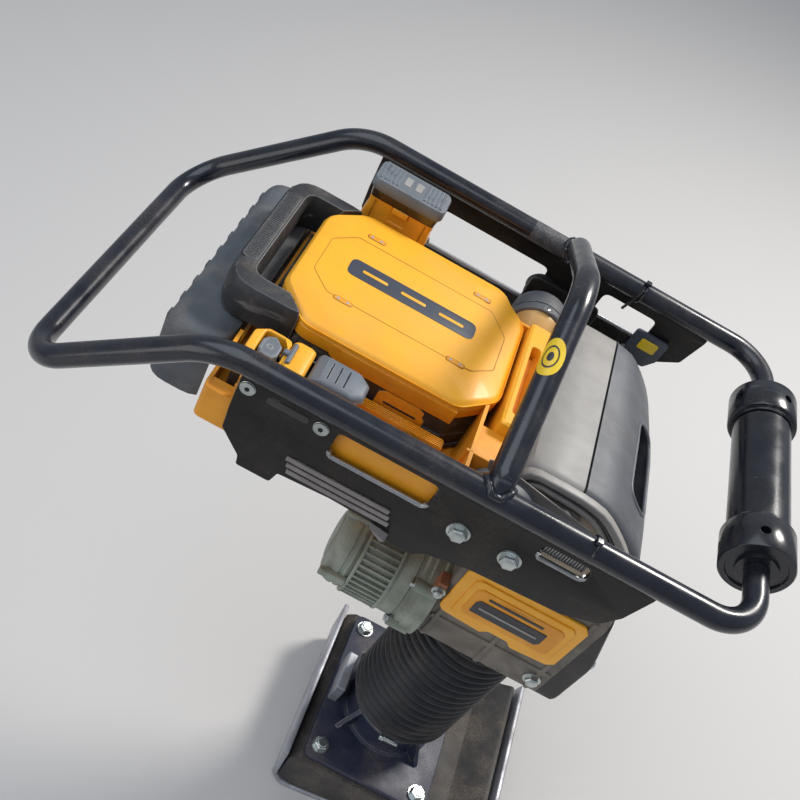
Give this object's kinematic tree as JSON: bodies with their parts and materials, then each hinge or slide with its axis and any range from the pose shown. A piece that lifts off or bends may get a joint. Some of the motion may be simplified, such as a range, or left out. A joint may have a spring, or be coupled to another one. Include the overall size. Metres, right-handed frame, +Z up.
{
  "type": "trench rammer",
  "caption": "Battery-powered upright trench rammer: tubular handle frame with roller and lifting bar, finned motor, crankcase, bellows leg and curved tamping shoe.",
  "frame": {"origin": "on the floor under the middle of the machine's length and width", "axes": "+X towards the front roller, +Y towards the far side (left of the operator looking forward), +Z up; the leg leans 10 degrees forward of +Z"},
  "size_m": [0.807, 0.452, 0.9816],
  "materials": {
    "black_steel": "semi-gloss black paint, scuffed",
    "yellow_paint": "satin yellow moulding",
    "dark_plastic": "grained near-black plastic",
    "grey_plastic": "mid-grey plastic",
    "light_grey": "satin light grey",
    "fascia_grey": "matte blue-grey",
    "cast_alloy": "rough cast, dusty",
    "cast_taupe": "painted casting under dust",
    "zinc": "zinc plated",
    "steel": "machined",
    "pale_steel": "worn bare steel",
    "rubber": "matt black rubber",
    "blue_black": "painted blue-black",
    "cell_wrap": "film wrap",
    "copper": "enamelled windings"
  },
  "bodies": {
    "foot": {"shoe_sole": "pale_steel", "shoe_body": "dark_plastic", "shoe_bolt_1": "zinc", "shoe_bolt_2": "zinc", "shoe_bolt_3": "zinc", "shoe_bolt_4": "zinc", "foot_flange": "blue_black", "spring_tube": "steel", "tube_ring": "steel", "upper_spring": "steel", "lower_spring": "steel", "bellows_clamp_lower": "zinc"},
    "machine": {"handle_tube": "black_steel", "lifting_bar": "black_steel", "side_plate_near": "black_steel", "side_plate_far": "black_steel", "roller_collar_near": "dark_plastic", "roller_collar_far": "dark_plastic", "battery_tray": "yellow_paint", "control_block": "yellow_paint", "latch_pin": "zinc", "lock_stand": "dark_plastic", "lock_pin": "zinc", "cable_boot": "rubber", "rear_shroud": "grey_plastic", "front_hood": "light_grey", "hood_fascia": "fascia_grey", "fan_cover": "grey_plastic", "mount_yoke": "black_steel", "shock_mount_1": "rubber", "mount_bolt_1": "zinc", "shock_mount_2": "rubber", "mount_bolt_2": "zinc", "shock_mount_3": "rubber", "mount_bolt_3": "zinc", "shock_mount_4": "rubber", "mount_bolt_4": "zinc", "crankcase_body": "cast_taupe", "crankcase_cover": "cast_taupe", "badge_panel": "yellow_paint", "oil_plug": "zinc", "crank_bearing": "steel", "motor_housing": "cast_alloy", "motor_cap": "cast_alloy", "motor_stator": "copper", "guide_tube": "steel", "bellows": "rubber", "bellows_clamp_upper": "zinc"},
    "piston_unit": {"piston": "steel"},
    "crank": {"crank_gear": "steel"},
    "rotor": {"motor_rotor": "steel"},
    "connecting_rod_unit": {"connecting_rod": "steel"},
    "roller": {"roller_sleeve": "dark_plastic"},
    "battery": {"battery_case": "dark_plastic", "battery_cells": "cell_wrap", "battery_cover": "yellow_paint", "battery_handle": "grey_plastic"},
    "power_key": {"power_button": "grey_plastic"},
    "latch": {"latch_lever": "grey_plastic"},
    "lock": {"lock_lever": "yellow_paint"}
  },
  "joints": [
    {"name": "leg_stroke", "type": "slide", "parent": "foot", "child": "machine", "axis": [0.1736, 0, 0.9848], "range_m": [0, 0.06], "deforming": ["bellows", "upper_spring", "lower_spring"]},
    {"name": "piston_slide", "type": "slide", "parent": "machine", "child": "piston_unit", "axis": [0.1736, 0, 0.9848], "range_m": [0, 0.048]},
    {"name": "crank_spin", "type": "hinge", "parent": "machine", "child": "crank", "pos_m": [0.1635, 0, 0.6126], "axis": [0.9848, 0, -0.1736], "continuous": true},
    {"name": "rotor_spin", "type": "hinge", "parent": "machine", "child": "rotor", "pos_m": [0.04939, -0.075, 0.54134], "axis": [0.9848, 0, -0.1736], "continuous": true},
    {"name": "rod_pivot", "type": "hinge", "parent": "crank", "child": "connecting_rod_unit", "pos_m": [0.19872, 0, 0.58202], "axis": [0.9848, 0, -0.1736], "continuous": true},
    {"name": "roller_spin", "type": "hinge", "parent": "machine", "child": "roller", "pos_m": [0.36558, 0, 0.82575], "axis": [0, 1, 0], "continuous": true},
    {"name": "battery_lift", "type": "slide", "parent": "machine", "child": "battery", "axis": [0.1736, 0, 0.9848], "range_m": [0, 0.12]},
    {"name": "power_press", "type": "slide", "parent": "machine", "child": "power_key", "axis": [-0.1736, 0, -0.9848], "range_m": [0, 0.003], "stiffness_N_per_m": 500},
    {"name": "latch_lift", "type": "hinge", "parent": "machine", "child": "latch", "pos_m": [-0.10434, -0.149, 0.87307], "axis": [0, 1, 0], "range_deg": [-50, 0]},
    {"name": "lock_tilt", "type": "hinge", "parent": "machine", "child": "lock", "pos_m": [-0.1172, 0.137, 0.85198], "axis": [0.9848, 0, -0.1736], "range_deg": [-20, 0]}
  ],
  "couplings": [
    {"joint": "rotor_spin", "follows": "crank_spin", "ratio": -4.2},
    {"joint": "rod_pivot", "follows": "crank_spin", "ratio": -1}
  ]
}
